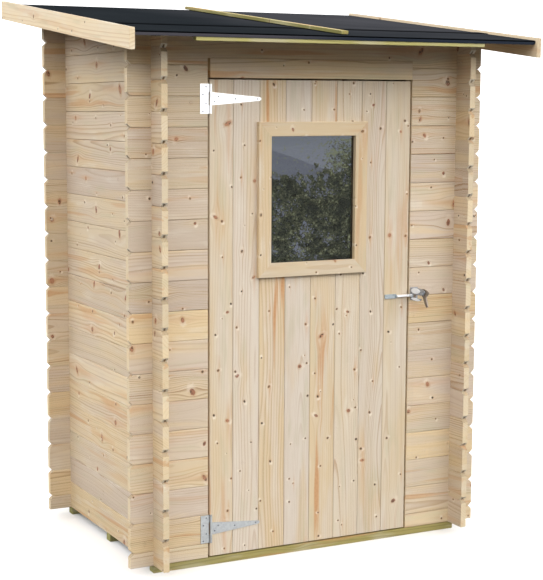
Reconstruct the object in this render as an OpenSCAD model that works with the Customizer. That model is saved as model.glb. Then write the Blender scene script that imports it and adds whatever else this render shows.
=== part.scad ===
// Tool shed of interlocking wall boards under a felted pent roof.
// The roof falls towards the door.  The front and back walls start with half
// a board and the side walls with a whole one, so at each corner the boards
// of two walls pass through each other's notches by turns, and their ends
// stand out past the corner on both sides.
// The origin is on the underside of the middle bearer.  +Y points to the back.

/* [Walls] */
// Height that one wall board covers
board_pitch = 112; // [108:1:116]
// Thickness of the wall boards
board_t = 24; // [22:0.5:26]
// Width over the outer faces of the side walls
body_w = 1346; // [1320:1:1400]
// Depth over the outer faces of the front and back walls
body_d = 910; // [860:1:960]
// Length of board that stands out past a corner
end_out = 92; // [70:1:110]
// Chamfer on the corners of each board end
end_chamfer = 14; // [8:1:18]
// Depth of the V where two boards meet
joint_v = 2.5; // [1:0.5:3]

/* [Base] */
// Width of a bearer
bearer_w = 39; // [35:1:45]
// Height of a bearer
bearer_h = 29; // [25:1:35]
// Thickness of the floor boards
floor_t = 16; // [14:1:18]

/* [Roof] */
// Fall of the roof, in degrees
roof_fall = 7.3; // [6:0.1:9]
// Overhang in front of the front wall
front_eave = 240; // [200:1:260]
// Overhang behind the back wall
back_eave = 231; // [200:1:260]
// Overhang of the roof beyond each side wall, over the fascia
side_eave = 187; // [150:1:210]
// Thickness of the roof boards
deck_t = 14; // [12:1:18]
// Thickness of the roofing felt
felt_t = 2.5; // [2:0.5:3]
// Height of the fascias at the two sides
fascia_h = 74; // [66:1:90]
// Thickness of the fascias
fascia_t = 20; // [16:1:22]
// Height that the fascias stand above the felt
fascia_rise = 10; // [5:1:20]

/* [Door] */
// Clear width of the doorway
doorway_w = 888; // [887:1:892]
// Distance of the doorway's middle from the middle of the front wall
doorway_x = -4; // [-10:1:10]
// Width of the door leaf
door_w = 874; // [870:1:875]
// Width that one door board covers
door_board = 111; // [109:1:112]
// Thickness of the door boards
door_t = 18; // [16:0.5:18]
// Underside of the door above the underside of the walls
door_foot = 6; // [6:1:10]
// Top of the door above the underside of the walls
door_top = 1797; // [1790:1:1797]
// Angle that the door opens to, in degrees
door_swing = 145; // [90:5:145]

/* [Window] */
// Width over the casing
window_w = 473; // [469:1:477]
// Height over the casing
window_h = 584; // [570:1:600]
// Width of a casing board
casing_w = 54; // [50:1:58]
// Thickness of a casing board
casing_t = 17; // [12:1:18]
// Thickness of the glass
glass_t = 4; // [3:1:4]

/* [Hidden] */
$fn = 48;

// Outer faces of the four walls, and the underside of the wall boards
x_left = -body_w / 2;
x_right = body_w / 2;
y_front = -body_d / 2;
y_back = body_d / 2;
z_wall = bearer_h;

// Underside of the roof boards over the outer face of the front wall
z_eave = z_wall + 17.565 * board_pitch;
// Joint of the front wall that runs just over the door
z_lintel = z_wall + 16.5 * board_pitch;
// Top of the notch that the header fills in the board over the door
z_header_top = z_wall + 16.73 * board_pitch;
header_gap = 6;
doorway_left = doorway_x - doorway_w / 2;
doorway_right = doorway_x + doorway_w / 2;

// Far ends of the roof boards, measured along the slope
s_front = -front_eave / cos(roof_fall);
s_back = (body_d + back_eave) / cos(roof_fall);
// Front edge of the rear sheet of felt, and the far edge of the front sheet
s_lap = 62;
s_under_lap = 130;
// Pieces laid on one another along the slope stand this far apart
laid = 0.05;
// Underside and top of the felt, square to the slope
n_boards = deck_t + laid;
n_felt = n_boards + felt_t;
// Outer faces of the fascias stand this far from the middle
x_fascia = x_right + side_eave;

// The hinges turn about one vertical line in front of the door's left edge
door_left = doorway_x - door_w / 2;
door_right = doorway_x + door_w / 2;
x_hinge = door_left + 3;
y_hinge = y_front - 5.5;
hinge_r = 4.5;
hinge_pin_r = 2.5;
hinge_bore_r = 2.58;
hinge_t = 2.5;
hinge_plate_h = 108;
hinge_root_h = 47;
hinge_plate_reach = 41;
hinge_strap_reach = 209;
z_upper_hinge = z_wall + 1727;
z_lower_hinge = z_wall + 113;

// The window takes the place of four door boards, counted from the latch side
cut_right = door_right - 2 * door_board;
cut_left = door_right - 6 * door_board;
x_window = -8;
z_window = z_wall + 1350.5;
cut_lap = 14;
cut_top = z_window + window_h / 2 - cut_lap;
cut_bottom = z_window - window_h / 2 + cut_lap;
pane_w = window_w - 2 * casing_w;
pane_h = window_h - 2 * casing_w;
y_door_back = y_front + door_t;
ledge_t = 18;
ledge_h = 95;
ledge_w = 840;

// Latch: the striker rod on the door, and the latch at the doorway's edge
striker_r = 5;
z_striker = z_wall + 955;
y_striker = y_front - 7.5;
x_latch = doorway_x + doorway_w / 2 + 6;
sheet_t = 2.5;
y_pawl = y_front - 85;
z_pawl = z_striker + 15;
pawl_pin_r = 4;
pawl_bore_r = 4.08;

// Underside of the roof boards at any depth
function z_roof(y) = z_eave + (y - y_front) * tan(roof_fall);

// A point of the roof: s along the slope from the front wall's outer face,
// n square to it from the underside of the roof boards
function roof_point(s, n) = [
    y_front + s * cos(roof_fall) - n * sin(roof_fall),
    z_eave + s * sin(roof_fall) + n * cos(roof_fall)
];

// Heights where the boards of a wall meet, the first of them at z_first
function joints(z_first, z_top) = [
    for (z = z_first; z < z_top - end_chamfer; z = z + board_pitch) z
];

// One end of a wall from the bottom up: each joint is a V cut inwards
function notched_end(s, inwards, z_list, z_top) = [
    [s, z_wall],
    for (z = z_list) each [
        [s, z - end_chamfer], [s + inwards * end_chamfer, z], [s, z + end_chamfer]
    ],
    [s, z_top]
];

// One face of a wall from the bottom up: each joint is a small V
function grooved_face(n, inwards, z_list, z_top) = [
    [n, z_wall],
    for (z = z_list) each [
        [n, z - joint_v], [n + inwards * joint_v, z], [n, z + joint_v]
    ],
    [n, z_top]
];

function reversed(list) = [for (i = [len(list) - 1 : -1 : 0]) list[i]];

// Draws its child as an outline in Y and Z, and carries it along X
module along_x(x, length) {
    translate([x, 0, 0])
        rotate([90, 0, 90])
            linear_extrude(length)
                children();
}

// Draws its child as an outline in X and Z, and carries it along Y
module along_y(y, length) {
    translate([0, y + length, 0])
        rotate([90, 0, 0])
            linear_extrude(length)
                children();
}

// A box given by two opposite corners
module block(low, high) {
    translate(low)
        cube(high - low);
}

// Outline of a front or back wall, with the notches that take the side walls
module cross_wall_outline(z_top) {
    z_list = joints(z_wall + board_pitch / 2, z_top - joint_v * 4);
    difference() {
        polygon(concat(
            notched_end(x_left - end_out, 1, z_list, z_top + 20),
            reversed(notched_end(x_right + end_out, -1, z_list, z_top + 20))
        ));
        for (x = [x_left, x_right - board_t])
            for (z = [z_wall + board_pitch / 4 : board_pitch : z_top])
                translate([x, z])
                    square([board_t, board_pitch / 2]);
    }
}

// Section of a front or back wall: grooved faces and a top that follows the roof
module cross_wall_section(y) {
    z_list = joints(z_wall + board_pitch / 2, z_roof(y) - joint_v * 4);
    polygon(concat(
        grooved_face(y, 1, z_list, z_roof(y)),
        reversed(grooved_face(y + board_t, -1, z_list, z_roof(y + board_t)))
    ));
}

// A front or back wall, or the part of one that lies inside its child
module cross_wall(y) {
    intersection() {
        along_y(y, board_t)
            intersection() {
                cross_wall_outline(z_roof(y));
                children();
            }
        along_x(x_left - end_out - 5, body_w + 2 * end_out + 10)
            cross_wall_section(y);
    }
}

// Outline of a side wall, with the notches that take the front and back walls
module side_wall_outline() {
    y_near = y_front - end_out;
    y_far = y_back + end_out;
    difference() {
        polygon(concat(
            notched_end(y_near, 1, joints(z_wall + board_pitch, z_roof(y_near)), z_roof(y_near)),
            reversed(notched_end(y_far, -1, joints(z_wall + board_pitch, z_roof(y_far)), z_roof(y_far)))
        ));
        for (y = [y_front, y_back - board_t]) {
            translate([y, z_wall - 1])
                square([board_t, board_pitch / 4 + 1]);
            for (z = [z_wall + board_pitch * 0.75 : board_pitch : z_roof(y) - board_pitch * 0.4])
                translate([y, z])
                    square([board_t, board_pitch / 2]);
        }
    }
}

// A side wall whose outer or left face stands at x
module side_wall(x) {
    z_list = joints(z_wall + board_pitch, z_roof(y_back + end_out));
    z_top = z_roof(y_back + end_out) + 20;
    intersection() {
        along_x(x, board_t)
            side_wall_outline();
        along_y(y_front - end_out - 5, body_d + 2 * end_out + 10)
            polygon(concat(
                grooved_face(x, 1, z_list, z_top),
                reversed(grooved_face(x + board_t, -1, z_list, z_top))
            ));
    }
}

// ---- Base ----

// A bearer whose front face stands at y
module bearer(y) {
    block([x_left, y, 0], [x_right, y + bearer_w, bearer_h]);
}

module front_bearer() {
    color("darkkhaki")
        bearer(y_front);
}

module middle_bearer() {
    color("darkkhaki")
        bearer(-bearer_w / 2);
}

module back_bearer() {
    color("darkkhaki")
        bearer(y_back - bearer_w);
}

module floor_boards() {
    color("burlywood")
        block(
            [x_left + board_t, y_front + board_t + 4, z_wall],
            [x_right - board_t, y_back - board_t, z_wall + floor_t]
        );
}

// ---- Walls ----

module front_wall_left() {
    color("burlywood")
        cross_wall(y_front)
            translate([x_left - end_out - 1, 0])
                square([doorway_left - x_left + end_out + 1, z_lintel]);
}

module front_wall_right() {
    color("burlywood")
        cross_wall(y_front)
            translate([doorway_right, 0])
                square([x_right - doorway_right + end_out + 1, z_lintel]);
}

// The top board runs over the door and is cut out there for the header
module front_wall_top() {
    color("burlywood")
        cross_wall(y_front)
            difference() {
                translate([x_left - end_out - 1, z_lintel])
                    square([body_w + 2 * end_out + 2, board_pitch * 2]);
                translate([doorway_left, z_lintel - 1])
                    square([doorway_w, z_header_top - z_lintel + 1]);
            }
}

module back_wall() {
    color("burlywood")
        cross_wall(y_back - board_t)
            translate([x_left - end_out - 1, 0])
                square([body_w + 2 * end_out + 2, z_roof(y_back) + 100]);
}

module left_wall() {
    color("burlywood")
        side_wall(x_left);
}

module right_wall() {
    color("burlywood")
        side_wall(x_right - board_t);
}

// ---- Door frame ----

module door_header() {
    color("burlywood")
        block(
            [doorway_left + 11, y_front, z_wall + door_top + header_gap],
            [doorway_right, y_front + board_t, z_header_top]
        );
}

// A post behind the wall that the closed door's edge rests against
module door_jamb(side) {
    x_stop = doorway_x + side * (doorway_w / 2 - 13);
    x_outer = doorway_x + side * (doorway_w / 2 + 27);
    block(
        [min(x_stop, x_outer), y_front + board_t, z_wall + floor_t],
        [max(x_stop, x_outer), y_front + board_t + 28, z_wall + 1925]
    );
}

module door_jamb_left() {
    color("burlywood")
        door_jamb(-1);
}

module door_jamb_right() {
    color("burlywood")
        door_jamb(1);
}

// ---- Roof ----

// A prism right across the roof, from an outline of roof_point()s
module across_roof(half_length) {
    along_x(-half_length, 2 * half_length)
        children();
}

module roof_deck() {
    color("burlywood")
        across_roof(x_fascia - fascia_t)
            polygon([
                roof_point(s_front, laid),
                roof_point(s_back, laid),
                roof_point(s_back, deck_t),
                roof_point(s_front, deck_t)
            ]);
}

// The front sheet folds down over the edge of the roof boards
module felt_front_sheet() {
    color("darkslategray")
        across_roof(x_fascia - fascia_t)
            polygon([
                roof_point(s_front - felt_t, 0),
                roof_point(s_front - laid, 0),
                roof_point(s_front - laid, n_boards),
                roof_point(s_under_lap - laid, n_boards),
                roof_point(s_under_lap - laid, n_felt),
                roof_point(s_front - 0.5, n_felt),
                roof_point(s_front - felt_t, n_felt - 2)
            ]);
}

// The rear sheet laps over the front one, and folds down at the back
module felt_rear_sheet() {
    color("darkslategray")
        across_roof(x_fascia - fascia_t)
            polygon([
                roof_point(s_lap, n_felt + laid),
                roof_point(s_under_lap, n_felt + laid),
                roof_point(s_under_lap, n_boards),
                roof_point(s_back + laid, n_boards),
                roof_point(s_back + laid, 0),
                roof_point(s_back + felt_t, 0),
                roof_point(s_back + felt_t, n_felt - 2),
                roof_point(s_back + 0.5, n_felt),
                roof_point(s_under_lap + 8, n_felt),
                roof_point(s_under_lap, n_felt + felt_t),
                roof_point(s_lap, n_felt + felt_t)
            ]);
}

// The batten down the middle of the roof follows the step of the lap
module roof_batten() {
    n_low = n_felt + laid;
    n_lap = n_felt + felt_t + laid;
    s_end = s_front + 26;
    color("darkkhaki")
        across_roof(14.5)
            polygon([
                roof_point(s_end, n_low),
                roof_point(s_lap - laid, n_low),
                roof_point(s_lap - laid, n_lap),
                roof_point(s_under_lap + laid, n_lap),
                roof_point(s_under_lap + 8, n_low),
                roof_point(s_back, n_low),
                roof_point(s_back, n_low + 15),
                roof_point(s_end, n_low + 15)
            ]);
}

// A batten under the edge of the roof boards, from slope position s
module eave_batten(s) {
    across_roof(606)
        polygon([
            roof_point(s, -14),
            roof_point(s + 28, -14),
            roof_point(s + 28, 0),
            roof_point(s, 0)
        ]);
}

module front_eave_batten() {
    color("darkkhaki")
        eave_batten(s_front);
}

module back_eave_batten() {
    color("darkkhaki")
        eave_batten(s_back - 28);
}

// A fascia closes one side of the roof; its ends are cut upright
module fascia(x) {
    y_near = y_front - front_eave - 15;
    y_far = y_back + back_eave + 3;
    lift = (deck_t + felt_t) / cos(roof_fall) + fascia_rise;
    along_x(x, fascia_t)
        polygon([
            [y_near, z_roof(y_near) + lift - fascia_h],
            [y_far, z_roof(y_far) + lift - fascia_h],
            [y_far, z_roof(y_far) + lift],
            [y_near, z_roof(y_near) + lift]
        ]);
}

module left_fascia() {
    color("wheat")
        fascia(-x_fascia);
}

module right_fascia() {
    color("wheat")
        fascia(x_fascia - fascia_t);
}

// ---- Door leaf ----

// A run of upright door boards from x_low to x_high; joints at x_list
module door_boards(x_low, x_high, x_list, z_low, z_high) {
    front = [
        [x_low, y_front],
        for (x = x_list) each [
            [x - joint_v, y_front], [x, y_front + joint_v], [x + joint_v, y_front]
        ],
        [x_high, y_front]
    ];
    back = [
        [x_low, y_door_back],
        for (x = x_list) each [
            [x - joint_v, y_door_back], [x, y_door_back - joint_v], [x + joint_v, y_door_back]
        ],
        [x_high, y_door_back]
    ];
    translate([0, 0, z_low])
        linear_extrude(z_high - z_low)
            polygon(concat(front, reversed(back)));
}

module door_boards_hinge_side() {
    color("burlywood")
        door_boards(
            door_left, cut_left, [cut_left - door_board],
            z_wall + door_foot, z_wall + door_top
        );
}

module door_boards_latch_side() {
    color("burlywood")
        door_boards(
            cut_right, door_right, [cut_right + door_board],
            z_wall + door_foot, z_wall + door_top
        );
}

middle_joints = [for (i = [1 : 3]) cut_left + i * door_board];

module door_boards_above_window() {
    color("burlywood")
        door_boards(cut_left, cut_right, middle_joints, cut_top, z_wall + door_top);
}

module door_boards_below_window() {
    color("burlywood")
        door_boards(cut_left, cut_right, middle_joints, z_wall + door_foot, cut_bottom);
}

// A ledge across the inside of the door, centred at height z
module door_ledge(z) {
    block(
        [doorway_x - ledge_w / 2, y_door_back, z - ledge_h / 2],
        [doorway_x + ledge_w / 2, y_door_back + ledge_t, z + ledge_h / 2]
    );
}

module door_ledge_top() {
    color("burlywood")
        door_ledge(z_upper_hinge);
}

module door_ledge_middle() {
    color("burlywood")
        door_ledge(z_striker + 22);
}

module door_ledge_bottom() {
    color("burlywood")
        door_ledge(z_lower_hinge);
}

// ---- Window ----

// One casing board, mitred at both ends; side is +1 or -1
module casing_upright(side) {
    x_out = x_window + side * window_w / 2;
    x_in = x_window + side * pane_w / 2;
    along_y(y_front - casing_t, casing_t)
        polygon([
            [x_out, z_window - window_h / 2],
            [x_in, z_window - pane_h / 2],
            [x_in, z_window + pane_h / 2],
            [x_out, z_window + window_h / 2]
        ]);
}

module casing_level(side) {
    z_out = z_window + side * window_h / 2;
    z_in = z_window + side * pane_h / 2;
    along_y(y_front - casing_t, casing_t)
        polygon([
            [x_window - window_w / 2, z_out],
            [x_window - pane_w / 2, z_in],
            [x_window + pane_w / 2, z_in],
            [x_window + window_w / 2, z_out]
        ]);
}

module window_casing_top() {
    color("tan")
        casing_level(1);
}

module window_casing_bottom() {
    color("tan")
        casing_level(-1);
}

module window_casing_left() {
    color("tan")
        casing_upright(-1);
}

module window_casing_right() {
    color("tan")
        casing_upright(1);
}

// The pane lies behind the casing, inside the opening cut in the boards
module window_glass() {
    color("slategray", 0.5)
        block(
            [cut_left + 1, y_front, cut_bottom + 1],
            [cut_right - 1, y_front + glass_t, cut_top - 1]
        );
}

// Strips behind the pane hold it against the casing
module window_inner_stiles() {
    color("tan") {
        block(
            [cut_left, y_front + glass_t, cut_bottom],
            [x_window - pane_w / 2, y_door_back, cut_top]
        );
        block(
            [x_window + pane_w / 2, y_front + glass_t, cut_bottom],
            [cut_right, y_door_back, cut_top]
        );
    }
}

module window_inner_rails() {
    color("tan") {
        block(
            [x_window - pane_w / 2, y_front + glass_t, cut_bottom],
            [x_window + pane_w / 2, y_door_back, z_window - pane_h / 2]
        );
        block(
            [x_window - pane_w / 2, y_front + glass_t, z_window + pane_h / 2],
            [x_window + pane_w / 2, y_door_back, cut_top]
        );
    }
}

// ---- Hinges ----

// Plan of a knuckle and the web that joins it to a leaf; side is +1 or -1.
// The web leaves a groove of that depth beside the knuckle.
module knuckle_plan(side, groove) {
    translate([x_hinge, y_hinge])
        circle(hinge_r);
    polygon([
        [x_hinge + side * 8, y_front],
        [x_hinge + side * 8, y_front - hinge_t + groove],
        [x_hinge + side * 1.6, y_front - hinge_t + groove],
        [x_hinge, y_hinge],
        [x_hinge, y_front - 1.1]
    ]);
}

// The wall half of a T-hinge: a plate, two knuckles and the pin
module hinge_plate(z) {
    end_h = (hinge_plate_h - hinge_root_h) / 2 - 0.5;
    // The plate stands back from the knuckles, to clear the strap's knuckle
    block(
        [x_hinge - hinge_plate_reach, y_front - hinge_t, z - hinge_plate_h / 2],
        [x_hinge - 7.9, y_front, z + hinge_plate_h / 2]
    );
    for (z_low = [z - hinge_plate_h / 2, z + hinge_plate_h / 2 - end_h])
        translate([0, 0, z_low])
            linear_extrude(end_h)
                knuckle_plan(-1, 1.1);
    translate([x_hinge, y_hinge, z - hinge_plate_h / 2])
        cylinder(r = hinge_pin_r, h = hinge_plate_h);
}

// The door half of a T-hinge: a knuckle and a long tapered strap
module hinge_strap(z) {
    x_tip = x_hinge + hinge_strap_reach;
    difference() {
        union() {
            translate([0, 0, z - hinge_root_h / 2])
                linear_extrude(hinge_root_h)
                    knuckle_plan(1, 0);
            along_y(y_front - hinge_t, hinge_t)
                polygon([
                    [x_hinge + 7.9, z - hinge_root_h / 2],
                    [x_tip - 8, z - 6.5],
                    [x_tip - 2, z - 4.5],
                    [x_tip, z - 2],
                    [x_tip, z + 2],
                    [x_tip - 2, z + 4.5],
                    [x_tip - 8, z + 6.5],
                    [x_hinge + 7.9, z + hinge_root_h / 2]
                ]);
        }
        translate([x_hinge, y_hinge, z - hinge_root_h / 2 - 1])
            cylinder(r = hinge_bore_r, h = hinge_root_h + 2);
    }
}

module upper_hinge_plate() {
    color("whitesmoke")
        hinge_plate(z_upper_hinge);
}

module lower_hinge_plate() {
    color("lightsteelblue")
        hinge_plate(z_lower_hinge);
}

module upper_hinge_strap() {
    color("whitesmoke")
        hinge_strap(z_upper_hinge);
}

module lower_hinge_strap() {
    color("lightsteelblue")
        hinge_strap(z_lower_hinge);
}

// ---- Latch ----

// The striker: a plate on the door and the rod that enters the latch
module latch_striker() {
    x_plate = door_right - 108;
    color("lightsteelblue") {
        block(
            [x_plate, y_front - 5, z_striker - 8.5],
            [x_plate + 53, y_front, z_striker + 8.5]
        );
        translate([x_plate + 48, y_striker, z_striker])
            rotate([0, 90, 0])
                cylinder(r = striker_r, h = x_latch + 2 - x_plate - 48);
    }
}

// The latch: a flange on the wall, a side plate with the slot for the rod,
// and the bolt that the pawl turns on
module latch_body() {
    color("silver") {
        block(
            [x_latch, y_front - sheet_t, z_striker - 19],
            [x_latch + 34, y_front, z_striker + 31]
        );
        along_x(x_latch, sheet_t) {
            polygon([
                [y_front, z_striker + 7],
                [y_front - 84, z_striker + 7],
                [y_front - 92, z_striker + 9],
                [y_front - 98, z_striker + 14],
                [y_front - 101, z_striker + 20],
                [y_front - 98, z_striker + 26],
                [y_front - 88, z_striker + 30],
                [y_front - 66, z_striker + 33],
                [y_front - 40, z_striker + 34],
                [y_front - 18, z_striker + 32],
                [y_front - 6, z_striker + 27],
                [y_front, z_striker + 20]
            ]);
            polygon([
                [y_front, z_striker - 16],
                [y_front - 8, z_striker - 19],
                [y_front - 52, z_striker - 19],
                [y_front - 72, z_striker - 15],
                [y_front - 82, z_striker - 9],
                [y_front - 82, z_striker - 7],
                [y_front, z_striker - 7]
            ]);
        }
        translate([x_latch - 5, y_pawl, z_pawl])
            rotate([0, 90, 0])
                cylinder(r = 7, h = 5, $fn = 6);
        translate([x_latch - 1, y_pawl, z_pawl])
            rotate([0, 90, 0])
                cylinder(r = pawl_pin_r, h = 16);
        translate([x_latch + sheet_t, y_pawl, z_pawl])
            rotate([0, 90, 0])
                cylinder(r = 7, h = 1.5);
        translate([x_latch + 10.5, y_pawl, z_pawl])
            rotate([0, 90, 0])
                cylinder(r = 7, h = 5, $fn = 6);
    }
}

// The pawl: its hook drops in front of the rod, and its tail is the finger lever
module latch_pawl() {
    color("gray")
        difference() {
            along_x(x_latch + 4.5, 5.5)
                polygon([
                    [y_pawl + 70, z_striker + 8],
                    [y_pawl + 69, z_striker - 8],
                    [y_pawl + 60, z_striker - 9],
                    [y_pawl + 55, z_striker + 2],
                    [y_pawl + 46, z_striker + 5],
                    [y_pawl + 8, z_striker + 5],
                    [y_pawl + 1, z_striker - 3],
                    [y_pawl - 7, z_striker - 18],
                    [y_pawl - 17, z_striker - 34],
                    [y_pawl - 23, z_striker - 38],
                    [y_pawl - 29, z_striker - 36],
                    [y_pawl - 30, z_striker - 31],
                    [y_pawl - 23, z_striker - 15],
                    [y_pawl - 17, z_striker],
                    [y_pawl - 22, z_striker + 9],
                    [y_pawl - 32, z_striker + 15],
                    [y_pawl - 34, z_striker + 20],
                    [y_pawl - 30, z_striker + 24],
                    [y_pawl - 14, z_striker + 30],
                    [y_pawl + 4, z_striker + 33],
                    [y_pawl + 30, z_striker + 26],
                    [y_pawl + 50, z_striker + 20],
                    [y_pawl + 65, z_striker + 16]
                ]);
            translate([x_latch, y_pawl, z_pawl])
                rotate([0, 90, 0])
                    cylinder(r = pawl_bore_r, h = 14);
        }
}

front_bearer();
middle_bearer();
back_bearer();
floor_boards();
front_wall_left();
front_wall_right();
front_wall_top();
left_wall();
right_wall();
back_wall();
door_header();
door_jamb_left();
door_jamb_right();
roof_deck();
felt_front_sheet();
felt_rear_sheet();
roof_batten();
front_eave_batten();
back_eave_batten();
left_fascia();
right_fascia();
upper_hinge_plate();
lower_hinge_plate();
latch_body();
door_boards_hinge_side();
door_boards_latch_side();
door_boards_above_window();
door_boards_below_window();
door_ledge_top();
door_ledge_middle();
door_ledge_bottom();
window_casing_top();
window_casing_bottom();
window_casing_left();
window_casing_right();
window_inner_stiles();
window_inner_rails();
window_glass();
upper_hinge_strap();
lower_hinge_strap();
latch_striker();
latch_pawl();
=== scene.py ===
"""Looks of the garden tool shed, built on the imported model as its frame.

Each visible board is a board of its own, with its tongue, groove and end cuts,
and carries its own place in a log, so that rings, knots and end grain agree
on all its faces.  Lengths are in metres, in the same frame as the solids.
"""
import bpy, bmesh, math, random
from mathutils import Matrix, Vector


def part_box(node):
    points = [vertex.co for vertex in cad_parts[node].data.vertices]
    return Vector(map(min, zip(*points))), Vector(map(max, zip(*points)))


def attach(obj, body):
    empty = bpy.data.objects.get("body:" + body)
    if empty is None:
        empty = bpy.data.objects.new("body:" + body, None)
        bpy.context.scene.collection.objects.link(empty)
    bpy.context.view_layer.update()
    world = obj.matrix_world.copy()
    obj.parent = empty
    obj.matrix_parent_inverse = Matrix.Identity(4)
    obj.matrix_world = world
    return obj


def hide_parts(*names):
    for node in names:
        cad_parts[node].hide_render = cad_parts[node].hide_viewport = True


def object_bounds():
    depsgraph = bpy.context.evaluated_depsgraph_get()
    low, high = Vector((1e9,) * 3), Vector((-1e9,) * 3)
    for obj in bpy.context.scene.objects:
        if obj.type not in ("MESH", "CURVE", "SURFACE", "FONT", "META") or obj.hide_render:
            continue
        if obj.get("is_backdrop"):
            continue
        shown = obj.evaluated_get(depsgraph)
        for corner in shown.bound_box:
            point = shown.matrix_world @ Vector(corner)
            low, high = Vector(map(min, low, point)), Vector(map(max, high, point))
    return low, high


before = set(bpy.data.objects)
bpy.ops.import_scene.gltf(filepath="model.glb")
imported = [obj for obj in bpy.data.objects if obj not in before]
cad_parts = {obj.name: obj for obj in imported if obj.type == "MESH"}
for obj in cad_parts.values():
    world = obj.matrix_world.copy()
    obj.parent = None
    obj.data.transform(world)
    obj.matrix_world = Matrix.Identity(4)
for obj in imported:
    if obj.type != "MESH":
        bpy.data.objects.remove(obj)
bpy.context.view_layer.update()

PITCH = 0.112                      # height that one wall board covers
END_CUT = 0.014                    # chamfer on the corners of the board ends
V_EDGE = 0.002                     # V edge where two boards meet
HALF_LINE = 0.0005                 # half the width of the line between two boards
EASE = 0.0012                      # rounding of the edges of plain timber
Z_WALL = 0.029                     # underside of the wall boards
Z_EAVE = Z_WALL + 17.565 * PITCH   # underside of the roof boards over the front wall
FALL = math.radians(7.3)
FRONT_EAVE, BACK_EAVE = 0.240, 0.231
DECK_T, FELT_T = 0.014, 0.0025
LAID = 0.00005                     # gap between pieces laid on one another
S_LAP, S_UNDER = 0.062, 0.130      # the lap of the felt, from the front wall up the slope
FASCIA_H = 0.074
FASCIA_LIFT = 0.0266               # top of the fascias over the roof boards' underside
DOOR_BOARD = 0.111                 # width that one door board covers
HINGE_X = -0.438                   # the pins of both hinges
LATCH_X = 0.446                    # the face of the latch plate beside the doorway
SHEET_T = 0.0025                   # thickness of the hinges and of the latch plate
SCREW_R = 0.003                    # radius of a screw head
FLOOR_BOARDS, ROOF_BOARDS = 12, 15
BEARERS = ("front_bearer", "middle_bearer", "back_bearer")
LEDGES = ("door_ledge_top", "door_ledge_middle", "door_ledge_bottom")

left_low, left_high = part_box("left_wall")
front_low, front_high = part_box("front_wall_left")
back_low, back_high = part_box("back_wall")
header_low, header_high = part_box("door_header")
Y_FRONT, Y_BACK = front_low.y, back_high.y
X_LEFT, X_RIGHT = left_low.x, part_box("right_wall")[1].x
DOORWAY = front_high.x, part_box("front_wall_right")[0].x, header_high.z

ROOF_NORMAL = Vector((0, -math.sin(FALL), math.cos(FALL)))
ROOF_ALONG = Vector((0, math.cos(FALL), math.sin(FALL)))


def roof_point(x, s, n):
    """Point s along the slope from the front wall's face, n above the boards' underside."""
    return Vector((x, Y_FRONT, Z_EAVE)) + ROOF_ALONG * s + ROOF_NORMAL * n


def roof_height(y):
    """Height of the roof boards' underside at that y."""
    return Z_EAVE + (y - Y_FRONT) * math.tan(FALL)


# ---- Camera and light ----

scene = bpy.context.scene
scene.view_settings.view_transform = "Standard"


def rgb(hexa):
    """Linear colour of an sRGB hex value, with alpha 1."""
    parts = [int(hexa[i:i + 2], 16) / 255 for i in (1, 3, 5)]
    return [((c + 0.055) / 1.055) ** 2.4 if c > 0.04045 else c / 12.92 for c in parts] + [1.0]


cam_data = bpy.data.cameras.new("camera")
camera = bpy.data.objects.new("camera", cam_data)
scene.collection.objects.link(camera)
scene.camera = camera
camera.location = (-2.716, -5.180, 1.712)
camera.rotation_euler = (math.pi / 2 - 0.125, 0.0, -0.4526)
cam_data.sensor_width = 36.0
cam_data.lens = 88.463
cam_data.shift_x = 0.0974
cam_data.clip_start, cam_data.clip_end = 0.1, 300.0


def studio_world(strength, backdrop, heights):
    """A white studio: a ring of light above the walls' height, and a white backdrop.

    The heights are rows of the sine of the elevation and the share of light there; the
    first row also stands for the light that the floor throws back up.
    """
    world = bpy.data.worlds.new("studio")
    world.use_nodes = True
    tree = world.node_tree
    where = tree.nodes.new("ShaderNodeTexCoord")
    split = tree.nodes.new("ShaderNodeSeparateXYZ")
    tree.links.new(where.outputs["Generated"], split.inputs[0])
    ramp = tree.nodes.new("ShaderNodeValToRGB")
    ramp.color_ramp.interpolation = "EASE"
    tree.links.new(split.outputs["Z"], ramp.inputs[0])
    stops = ramp.color_ramp.elements
    for number, (height, share) in enumerate(heights):
        stop = stops[number] if number < 2 else stops.new(height)
        stop.position, stop.color = height, (share, share, share, 1.0)
    seen = tree.nodes.new("ShaderNodeLightPath")
    pick = tree.nodes.new("ShaderNodeMix")
    pick.data_type = "RGBA"
    tree.links.new(seen.outputs["Is Camera Ray"], pick.inputs[0])
    tree.links.new(ramp.outputs[0], pick.inputs[6])
    pick.inputs[7].default_value = (backdrop / strength,) * 3 + (1.0,)
    tree.links.new(pick.outputs[2], tree.nodes["Background"].inputs["Color"])
    tree.nodes["Background"].inputs["Strength"].default_value = strength
    return world


def soft_light(name, azimuth, elevation, strength, angle):
    """A broad light that comes from that side; azimuth 0 is in front, and grows to the left."""
    light = bpy.data.lights.new(name, "SUN")
    light.energy = strength
    light.angle = math.radians(angle)
    lamp = bpy.data.objects.new(name, light)
    a, e = math.radians(azimuth), math.radians(elevation)
    towards = Vector((-math.sin(a) * math.cos(e), -math.cos(a) * math.cos(e), math.sin(e)))
    lamp.rotation_euler = towards.to_track_quat("Z", "Y").to_euler()
    scene.collection.objects.link(lamp)


scene.world = studio_world(3.35, 1.6, (
    (0.0, 0.026), (0.07, 0.026), (0.13, 0.12), (0.2, 0.5), (0.34, 0.88),
    (0.55, 0.98), (0.72, 0.64), (0.88, 0.3), (1.0, 0.26),
))
soft_light("key", -32, 19, 0.44, 45)


# ---- Shader helpers ----

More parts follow.
